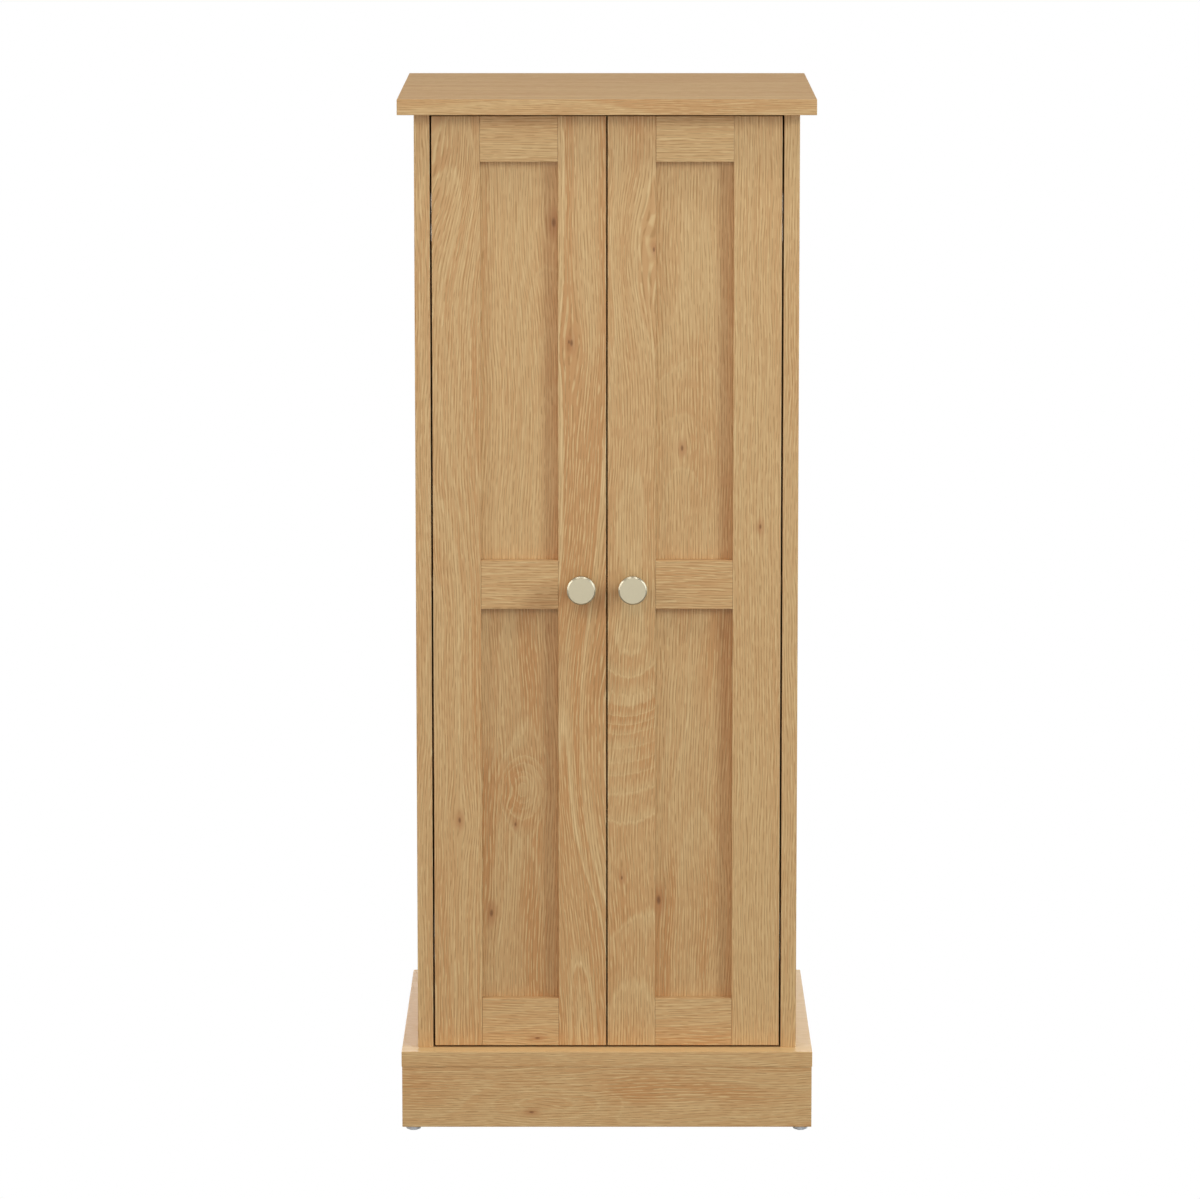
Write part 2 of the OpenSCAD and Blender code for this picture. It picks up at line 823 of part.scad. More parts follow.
module lower_panel() {
    panel(bottom_rail_h, middle_low);
}

// Turned knob: foot, waisted neck and a flat disc with a bevelled rim
module knob() {
    disc_low = knob_reach - knob_disc;
    r = knob_d / 2;
    neck = knob_neck_d / 2;
    round = knob_fillet;
    color(satin_brass) translate([knob_x, 0, knob_z]) rotate([90, 0, 0]) difference() {
        rotate_extrude() polygon([[0, 0], [knob_foot_d / 2, 0], [knob_foot_d / 2, knob_foot_t],
            [neck + round * 0.6, knob_foot_t + round], [neck, knob_foot_t + round * 2.5],
            [neck, disc_low - round * 3], [neck + round, disc_low - round], [r - round, disc_low],
            [r, disc_low + round * 0.6], [r, knob_reach - knob_bevel],
            [r - knob_bevel, knob_reach], [0, knob_reach]]);
        translate([0, 0, -cut]) cylinder(h = knob_bite + loose + cut, d = knob_screw_d + 2 * fit);
    }
}

module knob_screw() {
    rim_h = knob_head_h - knob_head_dome;
    color(zinc) translate([knob_x, door_t, knob_z]) difference() {
        union() {
            bar([0, 0.01, 0], "-y", door_t + knob_bite, knob_screw_d);
            bar([0, 0, 0], "y", rim_h, knob_head_d);
            translate([0, rim_h - 0.01, 0]) rotate([-90, 0, 0])
                cylinder(h = knob_head_dome, d1 = knob_head_d, d2 = knob_head_d * 0.6);
        }
        for (turn = [0, 90]) translate([0, knob_head_h, 0]) rotate([0, turn, 0])
            board([-knob_head_d / 4, -1.5 * cross_depth, -cross_w / 2],
                [knob_head_d / 2, 1.5 * cross_depth + cut, cross_w]);
    }
}

// Soft dot that meets the front edge of the fixed shelf
module bumper() {
    color(white_plastic) translate([bumper_x, door_t, shelf_mid - door_z]) rotate([-90, 0, 0])
        rotate_extrude() polygon([[0, 0], [bumper_d / 2, 0], [bumper_d / 2, bumper_t * 0.3],
            [bumper_d * 0.4, bumper_t * 0.7], [bumper_d * 0.25, bumper_t], [0, bumper_t]]);
}

// Hinge cup with its flange; the mouth faces the inside of the cabinet
module hinge_cup() {
    difference() {
        union() {
            bar([0, 0, 0], "-y", cup_depth, cup_d);
            bar([0, 0, 0], "y", flange_t, flange_d);
            board([ear_shift - ear_d / 2, 0, -cup_screw_pitch / 2], [ear_d, flange_t, cup_screw_pitch]);
            for (side = [-1, 1])
                bar([ear_shift, 0, side * cup_screw_pitch / 2], "y", flange_t, ear_d);
        }
        bar([0, flange_t + cut, 0], "-y", cup_depth + flange_t + cut - cup_wall, cup_d - 2 * cup_wall);
        translate([-cup_x, -door_t, 0]) at_cup_screws(0)
            countersunk_hole(cup_screw_len, cup_screw_d, cup_screw_head);
    }
}

module hinge_cups() {
    color(steel) for (z = hinge_zs) translate([cup_x, door_t, z]) hinge_cup();
}

module cup_screws() {
    color(zinc) for (z = hinge_zs)
        at_cup_screws(z) countersunk(cup_screw_len, cup_screw_d, cup_screw_head);
}

module wall_angle() {
    leg_y = y_panel - play;
    color(steel) difference() {
        union() {
            board([-angle_w / 2, leg_y - angle_t, z_ceiling - angle_leg],
                [angle_w, angle_t, angle_leg]);
            board([-angle_w / 2, leg_y - angle_leg, z_ceiling - angle_t],
                [angle_w, angle_leg, angle_t]);
        }
        bar([0, leg_y - angle_t - cut, z_ceiling - angle_leg / 2], "y", angle_t + 2 * cut, wall_hole_d);
        for (x = [-1, 1]) bar([x * angle_w / 4, y_panel - angle_leg / 2, z_ceiling - angle_t - cut],
            "z", angle_t + 2 * cut, block_screw_d + 2 * play);
    }
}

module wall_angle_screws() {
    color(zinc) for (x = [-1, 1])
        translate([x * angle_w / 4, y_panel - angle_leg / 2, z_ceiling - angle_t]) difference() {
            union() {
                bar([0, 0, -0.01], "z", angle_t + angle_bite, block_screw_d);
                bar([0, 0, 0], "-z", angle_head_h, angle_head_d);
            }
            for (turn = [0, 90]) rotate(turn)
                board([-angle_head_d / 4, -cross_w / 2, -angle_head_h - cut],
                    [angle_head_d / 2, cross_w, cut + cross_depth]);
        }
}

top_board();
base_board();
side_left();
side_right();
back_panel();
fixed_shelf();
lower_shelf();
upper_shelf();
shelf_pins();
plinth_front();
plinth_back();
plinth_left();
plinth_right();
corner_blocks();
block_screws();
glides();
cam_bolts();
cam_locks();
dowels();
hinge_plates();
hinge_arms();
hinge_pins();
hinge_screws();
wall_angle();
wall_angle_screws();
left_door() outer_stile();  // outer_stile_left
left_door() inner_stile();  // inner_stile_left
left_door() top_rail();  // top_rail_left
left_door() middle_rail();  // middle_rail_left
left_door() bottom_rail();  // bottom_rail_left
left_door() upper_panel();  // upper_panel_left
left_door() lower_panel();  // lower_panel_left
left_door() knob();  // knob_left
left_door() knob_screw();  // knob_screw_left
left_door() hinge_cups();  // hinge_cups_left
left_door() cup_screws();  // cup_screws_left
left_door() bumper();  // bumper_left
right_door() outer_stile();  // outer_stile_right
right_door() inner_stile();  // inner_stile_right
right_door() top_rail();  // top_rail_right
right_door() middle_rail();  // middle_rail_right
right_door() bottom_rail();  // bottom_rail_right
right_door() upper_panel();  // upper_panel_right
right_door() lower_panel();  // lower_panel_right
right_door() knob();  // knob_right
right_door() knob_screw();  // knob_screw_right
right_door() hinge_cups();  // hinge_cups_right
right_door() cup_screws();  // cup_screws_right
right_door() bumper();  // bumper_right
hinge_links_left();
hinge_links_right();
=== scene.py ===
"""Looks of the bathroom cabinet: oak-effect boards and shaker doors, satin brass knobs,
concealed hinges and the fittings inside, in a plain pale studio."""

import json
import math

import bmesh
import bpy
from mathutils import Matrix, Vector

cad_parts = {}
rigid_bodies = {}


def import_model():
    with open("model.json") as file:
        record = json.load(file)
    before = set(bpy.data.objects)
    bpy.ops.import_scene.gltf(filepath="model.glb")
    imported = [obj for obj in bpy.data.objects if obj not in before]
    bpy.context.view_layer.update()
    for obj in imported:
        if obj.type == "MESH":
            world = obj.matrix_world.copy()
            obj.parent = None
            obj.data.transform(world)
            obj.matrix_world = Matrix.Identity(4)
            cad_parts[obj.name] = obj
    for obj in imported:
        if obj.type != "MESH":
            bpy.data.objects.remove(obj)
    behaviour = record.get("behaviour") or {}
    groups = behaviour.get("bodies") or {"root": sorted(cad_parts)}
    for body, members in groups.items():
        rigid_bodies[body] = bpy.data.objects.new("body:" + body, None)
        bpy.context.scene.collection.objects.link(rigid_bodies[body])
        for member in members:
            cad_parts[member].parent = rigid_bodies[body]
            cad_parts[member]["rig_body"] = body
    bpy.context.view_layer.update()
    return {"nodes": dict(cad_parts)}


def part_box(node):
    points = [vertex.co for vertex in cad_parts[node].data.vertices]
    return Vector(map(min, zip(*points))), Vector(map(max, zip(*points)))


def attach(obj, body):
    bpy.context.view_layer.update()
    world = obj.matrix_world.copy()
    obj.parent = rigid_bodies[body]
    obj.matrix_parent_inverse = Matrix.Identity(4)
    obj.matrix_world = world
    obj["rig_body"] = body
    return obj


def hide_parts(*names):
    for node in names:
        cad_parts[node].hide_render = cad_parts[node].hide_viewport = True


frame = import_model()
nodes = frame["nodes"]
scene = bpy.context.scene

# Camera: seen from the front, six metres away and 0.4 m above the top board,
# with the cabinet a few pixels right of the middle of the picture.
picture_px = 1200
cabinet_right_of_middle_px = 6.9
camera_place = (0, -5.9994, 1.41475)
degrees_down = 8.70
camera_data = bpy.data.cameras.new("camera")
camera_data.sensor_width = 36
camera_data.lens = 183.31
camera_data.shift_x = -cabinet_right_of_middle_px / picture_px
camera = bpy.data.objects.new("camera", camera_data)
camera.location = camera_place
camera.rotation_euler = (math.radians(90 - degrees_down), 0, 0)
scene.collection.objects.link(camera)
scene.camera = camera

# Studio: a strong cool light from the right, weak ones from the left, the front, above and
# both flanks, and a wide low one behind. The floor and the backdrop are plain white.
scene.view_settings.view_transform = "Standard"


def softbox(name, place, aim, width, height, watts, tint=(1, 1, 1)):
    """A rectangular soft light that shines from a place towards a point."""
    data = bpy.data.lights.new(name, "AREA")
    data.shape = "RECTANGLE"
    data.size = width
    data.size_y = height
    data.energy = watts
    data.color = tint
    lamp = bpy.data.objects.new(name, data)
    lamp.location = place
    lamp.rotation_euler = (Vector(aim) - Vector(place)).to_track_quat("-Z", "Y").to_euler()
    lamp.visible_camera = False
    scene.collection.objects.link(lamp)


middle = (0, 0, 0.55)
cool = (0.74, 1.0, 1.18)
warm = (1.0, 0.86, 0.75)
softbox("key_light", (3.92, -2.81, 2.18), middle, 1.25, 2.1, 135, cool)
softbox("fill_light", (-2.6, -2.2, 1.6), middle, 1.6, 2.0, 18, (1.0, 0.95, 0.92))
softbox("high_front_light", (-0.3, -3.6, 2.5), middle, 1.8, 0.8, 16, warm)
softbox("steep_left_light", (-0.8, -1.0, 3.3), (0, -0.2, 0.1), 0.6, 0.6, 10)
softbox("steep_right_light", (0.8, -1.0, 3.3), (0, -0.2, 0.1), 0.6, 0.6, 10)
softbox("top_light", (0.2, 0.6, 2.8), (0, 0.1, 1.0), 1.8, 1.2, 5, (1.03, 1.04, 0.5))
softbox("front_light", (0, -4.4, 0.7), (0, 0, 0.75), 3.0, 1.4, 27, (1.0, 0.96, 0.91))
softbox("left_rim_light", (-2.4, -0.4, 1.4), middle, 0.5, 2.2, 16)
softbox("right_rim_light", (2.4, -0.4, 1.4), middle, 0.5, 2.2, 12)
softbox("low_back_light", (0, 2.6, 0.68), (0, 0, 0.68), 5.0, 0.75, 27)


def add(tree, kind, inputs=None, **settings):
    """Adds a shader node with its settings, and feeds its inputs with values or sockets."""
    made = tree.nodes.new(kind)
    for name, value in settings.items():
        setattr(made, name, value)
    for key, value in (inputs or {}).items():
        if isinstance(value, bpy.types.NodeSocket):
            tree.links.new(value, made.inputs[key])
        else:
            made.inputs[key].default_value = value
    return made


share_in_reflections = 0.35
reflected_white = (1.0, 0.99, 0.86, 1)


def seen_white(tree):
    """1 where the camera looks straight at the studio, and a share of it in reflections."""
    path = add(tree, "ShaderNodeLightPath").outputs
    in_reflections = add(tree, "ShaderNodeMath",
                         {0: path["Is Glossy Ray"], 1: share_in_reflections},
                         operation="MULTIPLY").outputs[0]
    return add(tree, "ShaderNodeMath", {0: path["Is Camera Ray"], 1: in_reflections},
               operation="MAXIMUM").outputs[0]


def studio_white(tree):
    """White where the camera looks straight at it, and a warmer white in reflections."""
    straight = add(tree, "ShaderNodeLightPath").outputs["Is Camera Ray"]
    return add(tree, "ShaderNodeMix", {0: straight, 6: reflected_white, 7: (1, 1, 1, 1)},
               data_type="RGBA").outputs[2]


def white_to_the_camera(tree, plain):
    """Mixes a plain shader with even white light that the camera and reflections see."""
    white = add(tree, "ShaderNodeEmission", {"Color": studio_white(tree), "Strength": 1.0})
    return add(tree, "ShaderNodeMixShader",
               {0: seen_white(tree), 1: plain, 2: white.outputs[0]}).outputs[0]


room_strength = 0.23
world = bpy.data.worlds.new("studio")
scene.world = world
world.use_nodes = True
world.node_tree.nodes.clear()
room_light = add(world.node_tree, "ShaderNodeBackground",
                 {"Color": (*warm, 1), "Strength": room_strength})
white_room = add(world.node_tree, "ShaderNodeBackground",
                 {"Color": studio_white(world.node_tree), "Strength": 1.0})
room = add(world.node_tree, "ShaderNodeMixShader",
           {0: seen_white(world.node_tree), 1: room_light.outputs[0], 2: white_room.outputs[0]})
add(world.node_tree, "ShaderNodeOutputWorld", {"Surface": room.outputs[0]})

floor_size = 12.0
floor_grey = (0.33, 0.33, 0.33, 1)
floor_mesh = bpy.data.meshes.new("floor")
shape = bmesh.new()
bmesh.ops.create_grid(shape, x_segments=1, y_segments=1, size=floor_size / 2)
shape.to_mesh(floor_mesh)
shape.free()
floor_material = bpy.data.materials.new("pale_floor")
floor_material.use_nodes = True
floor_tree = floor_material.node_tree
floor_tree.nodes.clear()
floor_paint = add(floor_tree, "ShaderNodeBsdfDiffuse", {"Color": floor_grey})
add(floor_tree, "ShaderNodeOutputMaterial",
    {"Surface": white_to_the_camera(floor_tree, floor_paint.outputs[0])})
floor_mesh.materials.append(floor_material)
floor = bpy.data.objects.new("floor", floor_mesh)
scene.collection.objects.link(floor)


# Base board: oak-effect board, 15 mm thick, that stands out under the body in front and at
# both sides. Its front and side edges are banded to match, its back edge is raw chipboard.
def linear(red, green, blue):
    """A colour as a picture gives it, from 0 to 255, as light."""
    def channel(value):
        value /= 255
        return value / 12.92 if value <= 0.04045 else ((value + 0.055) / 1.055) ** 2.4
    return (channel(red), channel(green), channel(blue), 1)


def calc(tree, operation, *terms):
    """The result of one sum on numbers or sockets."""
    made = tree.nodes.new("ShaderNodeMath")
    made.operation = operation
    for socket, term in zip(made.inputs, terms):
        if isinstance(term, bpy.types.NodeSocket):
            tree.links.new(term, socket)
        else:
            socket.default_value = term
    return made.outputs[0]


def ramp(tree, value, low, high, start=0.0, end=1.0):
    """Smooth step from start to end while value goes from low to high."""
    return add(tree, "ShaderNodeMapRange",
               {"Value": value, "From Min": low, "From Max": high, "To Min": start, "To Max": end},
               interpolation_type="SMOOTHSTEP").outputs["Result"]


def noise(tree, x, y, z, detail=2.0):
    """Soft noise from 0 to 1 at a point given by three numbers."""
    point = add(tree, "ShaderNodeCombineXYZ", {"X": x, "Y": y, "Z": z}).outputs[0]
    return add(tree, "ShaderNodeTexNoise",
               {"Vector": point, "Scale": 1.0, "Detail": detail}).outputs["Fac"]


def blend_colour(tree, share, under, over):
    """One colour laid over another by a share."""
    return add(tree, "ShaderNodeMix", {0: share, 6: under, 7: over}, data_type="RGBA").outputs[2]


def new_group(name, inputs, outputs):
    """An empty shader group with named sockets, its input node and its output node."""
    tree = bpy.data.node_groups.new(name, "ShaderNodeTree")
    for label, kind in inputs:
        tree.interface.new_socket(name=label, in_out="INPUT", socket_type=kind)
    for label, kind in outputs:
        tree.interface.new_socket(name=label, in_out="OUTPUT", socket_type=kind)
    return tree, tree.nodes.new("NodeGroupInput").outputs, tree.nodes.new("NodeGroupOutput").inputs


def make_knot_group():
    """A knot: the fibres bend round it, its core is dark and a redder halo lies round it."""
    number = "NodeSocketFloat"
    tree, given, result = new_group(
        "oak_knot",
        [("Board", "NodeSocketVector"), ("Across", number), ("Along", number), ("Core", number),
         ("Reach", number), ("Push", number)],
        [("Shift", number), ("Dark", number), ("Halo", number)])
    place = add(tree, "ShaderNodeSeparateXYZ", {0: given["Board"]}).outputs
    long_shape = 0.45
    over = calc(tree, "SUBTRACT", place["X"], given["Across"])
    up = calc(tree, "MULTIPLY", calc(tree, "SUBTRACT", place["Z"], given["Along"]), long_shape)
    far_squared = calc(tree, "MULTIPLY_ADD", over, over, calc(tree, "MULTIPLY", up, up))
    reach_squared = calc(tree, "MULTIPLY", given["Reach"], given["Reach"])
    far_share = calc(tree, "DIVIDE", far_squared, reach_squared)
    fade = calc(tree, "EXPONENT", calc(tree, "MULTIPLY", far_share, -1))
    aside = calc(tree, "MULTIPLY", calc(tree, "DIVIDE", over, given["Reach"]), given["Push"])
    shift = calc(tree, "MULTIPLY", calc(tree, "MULTIPLY", aside, fade), -1)
    near = calc(tree, "DIVIDE", calc(tree, "SQRT", far_squared), given["Core"])
    tree.links.new(shift, result["Shift"])
    tree.links.new(ramp(tree, near, 0.3, 1.3, 0.75, 0.0), result["Dark"])
    tree.links.new(ramp(tree, near, 0.5, 5.0, 0.60, 0.0), result["Halo"])
    return tree


def make_eye_group():
    """An eye: the rings close round a swelling that lies under the surface."""
    number = "NodeSocketFloat"
    tree, given, result = new_group(
        "oak_eye",
        [("Board", "NodeSocketVector"), ("Across", number), ("Along", number), ("Width", number),
         ("Length", number), ("Rise", number)],
        [("Lift", number)])
    place = add(tree, "ShaderNodeSeparateXYZ", {0: given["Board"]}).outputs
    over = calc(tree, "DIVIDE", calc(tree, "SUBTRACT", place["X"], given["Across"]), given["Width"])
    up = calc(tree, "DIVIDE", calc(tree, "SUBTRACT", place["Z"], given["Along"]), given["Length"])
    far_squared = calc(tree, "MULTIPLY_ADD", over, over, calc(tree, "MULTIPLY", up, up))
    fade = calc(tree, "EXPONENT", calc(tree, "MULTIPLY", far_squared, -1))
    tree.links.new(calc(tree, "MULTIPLY", fade, given["Rise"]), result["Lift"])
    return tree


def make_oak_group():
    """The printed oak: growth rings cut by the board, pores and streaks along the fibres."""
    number = "NodeSocketFloat"
    colour = "NodeSocketColor"
    tree, given, result = new_group(
        "oak_print",
        [("Board", "NodeSocketVector"), ("Pith across", number), ("Pith depth", number),
         ("Tilt", number), ("Wander", number), ("Rise", number), ("Rise from", number),
         ("Rise to", number), ("Shift", number), ("Lift", number), ("Ring width", number),
         ("Rings", number), ("Red patches", number), ("Seed", number),
         ("Base", colour), ("Pale", colour), ("Line", colour), ("Red", colour), ("Pore", colour)],
        [("Color", colour), ("Roughness", number), ("Height", number)])
    place = add(tree, "ShaderNodeSeparateXYZ", {0: given["Board"]}).outputs
    x, y, z = place["X"], place["Y"], place["Z"]
    seed = given["Seed"]

    def scaled(value, factor, offset=0.0):
        """value * factor + offset * seed"""
        if not offset:
            return calc(tree, "MULTIPLY", value, factor)
        return calc(tree, "MULTIPLY_ADD", value, factor, calc(tree, "MULTIPLY", seed, offset))

    # Where each point lies in the log, with fibres that wander and rings that rise along it
    bend_x = noise(tree, scaled(x, 4.0, 3.1), scaled(y, 4.0, 1.7), scaled(z, 3.0, 5.3), 1.5)
    bend_y = noise(tree, scaled(x, 4.0, 7.9), scaled(y, 4.0, 4.3), scaled(z, 2.6, 2.9), 1.5)
    sway_x = calc(tree, "MULTIPLY", calc(tree, "SUBTRACT", bend_x, 0.5), given["Wander"])
    sway_y = calc(tree, "MULTIPLY", calc(tree, "SUBTRACT", bend_y, 0.5),
                  calc(tree, "MULTIPLY", given["Wander"], 1.6))
    rise = ramp(tree, z, given["Rise from"], given["Rise to"], 0.0, given["Rise"])
    fibre_x = calc(tree, "ADD", calc(tree, "ADD", x, sway_x), given["Shift"])
    fibre_y = calc(tree, "ADD", calc(tree, "MULTIPLY_ADD", z, given["Tilt"], y), sway_y)
    fibre_y = calc(tree, "ADD", calc(tree, "ADD", fibre_y, rise), given["Lift"])
    out_x = calc(tree, "SUBTRACT", fibre_x, given["Pith across"])
    out_y = calc(tree, "ADD", fibre_y, given["Pith depth"])
    out_y_squared = calc(tree, "MULTIPLY", out_y, out_y)
    radius = calc(tree, "SQRT", calc(tree, "MULTIPLY_ADD", out_x, out_x, out_y_squared))

    # Fine lines along the fibres, just under 3 mm apart, that drift and break into dashes
    shallow = calc(tree, "MULTIPLY_ADD", calc(tree, "SUBTRACT", fibre_y, y), 0.15, y)
    thread = noise(tree, scaled(fibre_x, 500.0, 2.3), scaled(shallow, 500.0), scaled(z, 9.0, 8.1), 0.0)

    def fine_lines(spacing, drifting, length, offset):
        """Lines of one kind, from 0 between them to 1 along their middles."""
        drift = noise(tree, scaled(fibre_x, 170.0, offset), scaled(shallow, 170.0),
                      scaled(z, 24.0), 0.0)
        aside = calc(tree, "ADD", fibre_x, shallow)
        even = calc(tree, "MULTIPLY", aside, math.tau / spacing)
        crest = ramp(tree, calc(tree, "SINE", calc(tree, "MULTIPLY_ADD", drift, drifting, even)),
                     0.1, 1.0)
        broken = noise(tree, scaled(fibre_x, 430.0), scaled(shallow, 430.0, offset),
                       scaled(z, 1 / length), 0.0)
        return calc(tree, "MULTIPLY", crest, ramp(tree, broken, 0.36, 0.58, 0.15, 1.0))

    dash = fine_lines(spacing=0.0029, drifting=9.0, length=0.013, offset=3.7)
    pore = fine_lines(spacing=0.0026, drifting=-9.0, length=0.010, offset=4.9)
    stripe = noise(tree, scaled(fibre_x, 90.0, 1.9), scaled(shallow, 90.0), scaled(z, 2.0), 0.0)
    patch = noise(tree, scaled(fibre_x, 30.0, 5.7), scaled(fibre_y, 30.0), scaled(z, 3.5, 3.3), 1.0)

    # Growth rings of uneven width: a thin broken pale line, then a redder band that fades
    uneven = noise(tree, scaled(radius, 60.0, 6.1), scaled(z, 1.3), 0.0, 1.0)
    count = calc(tree, "MULTIPLY_ADD", uneven, 2.4, calc(tree, "DIVIDE", radius, given["Ring width"]))
    count = calc(tree, "MULTIPLY_ADD", thread, 0.25, count)
    ring = calc(tree, "FRACT", count)
    line = calc(tree, "MULTIPLY", ramp(tree, ring, 0.0, 0.05), ramp(tree, ring, 0.08, 0.18, 1.0, 0.0))
    band = calc(tree, "MULTIPLY", ramp(tree, ring, 0.08, 0.22), ramp(tree, ring, 0.45, 1.0, 1.0, 0.0))
    some = noise(tree, scaled(radius, 24.0, 9.7), scaled(z, 3.0, 1.1), scaled(x, 7.0), 1.0)
    strength = calc(tree, "MULTIPLY", ramp(tree, some, 0.32, 0.56, 0.5, 1.0), given["Rings"])
    broken = calc(tree, "MULTIPLY", line, ramp(tree, dash, 0.05, 0.5, 0.25, 1.0))

    redness = calc(tree, "MULTIPLY", ramp(tree, patch, 0.46, 0.70), given["Red patches"])
    redness = calc(tree, "MULTIPLY_ADD", ramp(tree, stripe, 0.45, 0.70), 0.12, redness)
    redness = calc(tree, "MULTIPLY_ADD", band, calc(tree, "MULTIPLY", strength, 0.70), redness)
    tint = blend_colour(tree, redness, given["Base"], given["Red"])
    tint = blend_colour(tree, ramp(tree, thread, 0.50, 0.74, 0.0, 0.06), tint, given["Pale"])
    tint = blend_colour(tree, calc(tree, "MULTIPLY", dash, 0.75), tint, given["Pale"])
    tint = blend_colour(tree, calc(tree, "MULTIPLY", pore, 0.55), tint, given["Pore"])
    tint = blend_colour(tree, calc(tree, "MULTIPLY", broken, strength), tint, given["Line"])
    tree.links.new(tint, result["Color"])
    tree.links.new(calc(tree, "MULTIPLY_ADD", pore, 0.14, 0.38), result["Roughness"])
    tree.links.new(calc(tree, "SUBTRACT", calc(tree, "MULTIPLY", dash, 0.5), pore), result["Height"])
    return tree


knot_group = make_knot_group()
eye_group = make_eye_group()
oak_group = make_oak_group()
oak_base = (203, 163, 112)
oak_pale = (218, 184, 131)
oak_line = (220, 186, 134)
oak_red = (192, 139, 86)
oak_pore = (159, 117, 68)
knot_halo = (172, 114, 66)
knot_core = (116, 74, 40)
darker_oak = (90, 50, 20)
paler_oak = (250, 214, 152)
fine_relief = 0.0002
upright = ((1, 0, 0), (0, 0, 1))
side_upright = ((0, 1, 0), (0, 0, 1))
level = ((0, 0, 1), (1, 0, 0))
flat = ((0, 1, 0), (1, 0, 0))


def start_finish(name):
    """A new material, its shader tree and the place of each point on the cabinet."""
    material = bpy.data.materials.new(name)
    material.use_nodes = True
    tree = material.node_tree
    return material, tree, add(tree, "ShaderNodeTexCoord").outputs["Object"]


def lay_finish(tree, colour, roughness, height=None, strength=0.0, depth=fine_relief):
    """Gives the surface its colour, its roughness and, with a height, its relief."""
    surface = tree.nodes["Principled BSDF"]
    tree.links.new(colour, surface.inputs["Base Color"])
    tree.links.new(roughness, surface.inputs["Roughness"])
    if height is not None:
        relief = add(tree, "ShaderNodeBump",
                     {"Height": height, "Strength": strength, "Distance": depth})
        tree.links.new(relief.outputs[0], surface.inputs["Normal"])
    return surface


def oak(name, node, lie, seed, pith=(0.06, 0.05), tilt=0.03, wander=0.03, ring_width=0.006,
        rings=0.5, red=0.4, tone=1.0, rise=(0.0, 0.0, 1.0), knots=(), eyes=(), finer=1.0):
    """Oak-effect surface of one board. lie gives the directions across and along its grain,
    pith how far the heart of the log lies across the board's middle and in front of it.
    A negative ring width puts the redder band on the inner side of each line. tone makes
    the whole board paler or darker. rise tells how far the rings rise under the surface,
    and between which places along it. Each knot has its place across and along, its core,
    its reach and how far it pushes, and each eye its place, its half width, its half
    length and its rise. finer brings the lines of the print closer together."""
    material, tree, here = start_finish(name)
    low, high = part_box(node)
    across, along = Vector(lie[0]), Vector(lie[1])
    turn = Matrix((across, along.cross(across), along))
    narrow = Vector([1 if part else finer for part in along])
    centred = turn @ ((low + high) / 2 * narrow)
    board = add(tree, "ShaderNodeMapping",
                {"Vector": here, "Rotation": turn.to_euler(), "Location": -centred,
                 "Scale": narrow}).outputs[0]
    shift = 0.0
    dark = 0.0
    halo = 0.0
    for knot_across, knot_along, core, reach, push in knots:
        knot = add(tree, "ShaderNodeGroup", node_tree=knot_group)
        tree.links.new(board, knot.inputs["Board"])
        knot.inputs["Across"].default_value = knot_across - centred.x
        knot.inputs["Along"].default_value = knot_along - centred.z
        knot.inputs["Core"].default_value = core
        knot.inputs["Reach"].default_value = reach
        knot.inputs["Push"].default_value = push
        shift = calc(tree, "ADD", knot.outputs["Shift"], shift)
        dark = calc(tree, "MAXIMUM", knot.outputs["Dark"], dark)
        halo = calc(tree, "MAXIMUM", knot.outputs["Halo"], halo)
    lift = 0.0
    for eye_across, eye_along, width, length, height in eyes:
        eye = add(tree, "ShaderNodeGroup", node_tree=eye_group)
        tree.links.new(board, eye.inputs["Board"])
        eye.inputs["Across"].default_value = eye_across - centred.x
        eye.inputs["Along"].default_value = eye_along - centred.z
        eye.inputs["Width"].default_value = width
        eye.inputs["Length"].default_value = length
        eye.inputs["Rise"].default_value = height
        lift = calc(tree, "ADD", eye.outputs["Lift"], lift)
    grain = add(tree, "ShaderNodeGroup", node_tree=oak_group)
    tree.links.new(board, grain.inputs["Board"])
    values = {"Pith across": pith[0], "Pith depth": pith[1], "Tilt": tilt, "Wander": wander,
              "Rise": rise[0], "Rise from": rise[1] - centred.z, "Rise to": rise[2] - centred.z,
              "Ring width": ring_width, "Rings": rings, "Red patches": red, "Seed": seed,
              "Base": linear(*oak_base), "Pale": linear(*oak_pale), "Line": linear(*oak_line),
              "Red": linear(*oak_red), "Pore": linear(*oak_pore)}
    for label, value in values.items():
        grain.inputs[label].default_value = value
    if eyes:
        tree.links.new(lift, grain.inputs["Lift"])
    tint = grain.outputs["Color"]
    if knots:
        tree.links.new(shift, grain.inputs["Shift"])
        tint = blend_colour(tree, halo, tint, linear(*knot_halo))
        tint = blend_colour(tree, dark, tint, linear(*knot_core))
    if tone < 1.0:
        tint = blend_colour(tree, 1 - tone, tint, linear(*darker_oak))
    if tone > 1.0:
        tint = blend_colour(tree, tone - 1, tint, linear(*paler_oak))
    surface = lay_finish(tree, tint, grain.outputs["Roughness"], grain.outputs["Height"],
                         strength=0.25)
    surface.inputs["Specular IOR Level"].default_value = 0.35
    return material


